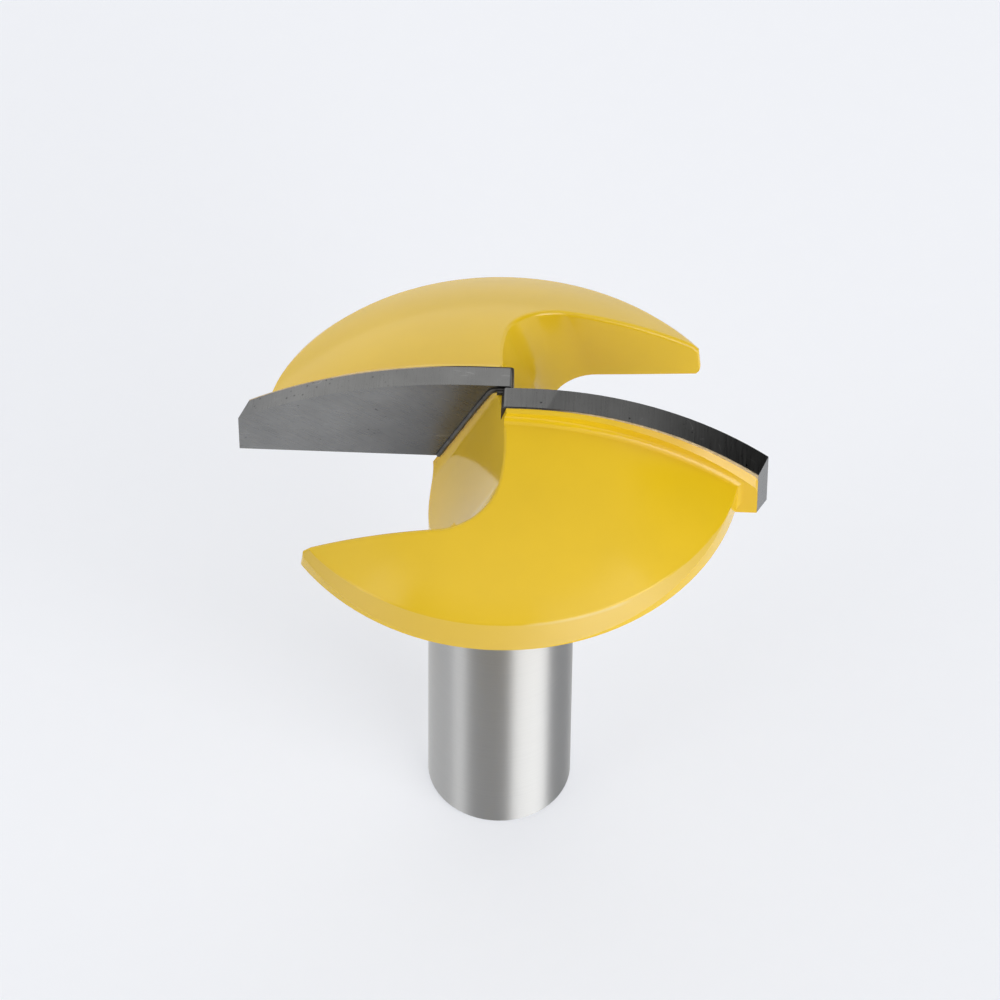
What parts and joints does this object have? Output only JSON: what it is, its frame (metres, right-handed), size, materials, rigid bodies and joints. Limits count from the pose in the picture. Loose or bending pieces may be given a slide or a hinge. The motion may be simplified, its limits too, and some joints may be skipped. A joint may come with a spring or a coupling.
{
  "type": "router bit",
  "caption": "Plunging router bit with two wings, inclined brazed carbide cutters, a shallow domed profile and a half-inch shank.",
  "frame": {"origin": "centre of the shank's end face, which stands on the ground plane", "axes": "+Z along the tool axis from the shank to the cutting end, X along the two rake faces"},
  "size_m": [0.0452, 0.041, 0.0529],
  "materials": {
    "body_paint": "satin yellow paint on the wings and neck, ground steel shank",
    "carbide": "ground grey carbide",
    "braze": "darkened solder seam"
  },
  "bodies": {
    "root": {"bit_body": "body_paint", "right_carbide_cutter": "carbide", "left_carbide_cutter": "carbide", "right_braze_layer": "braze", "left_braze_layer": "braze"}
  },
  "joints": []
}
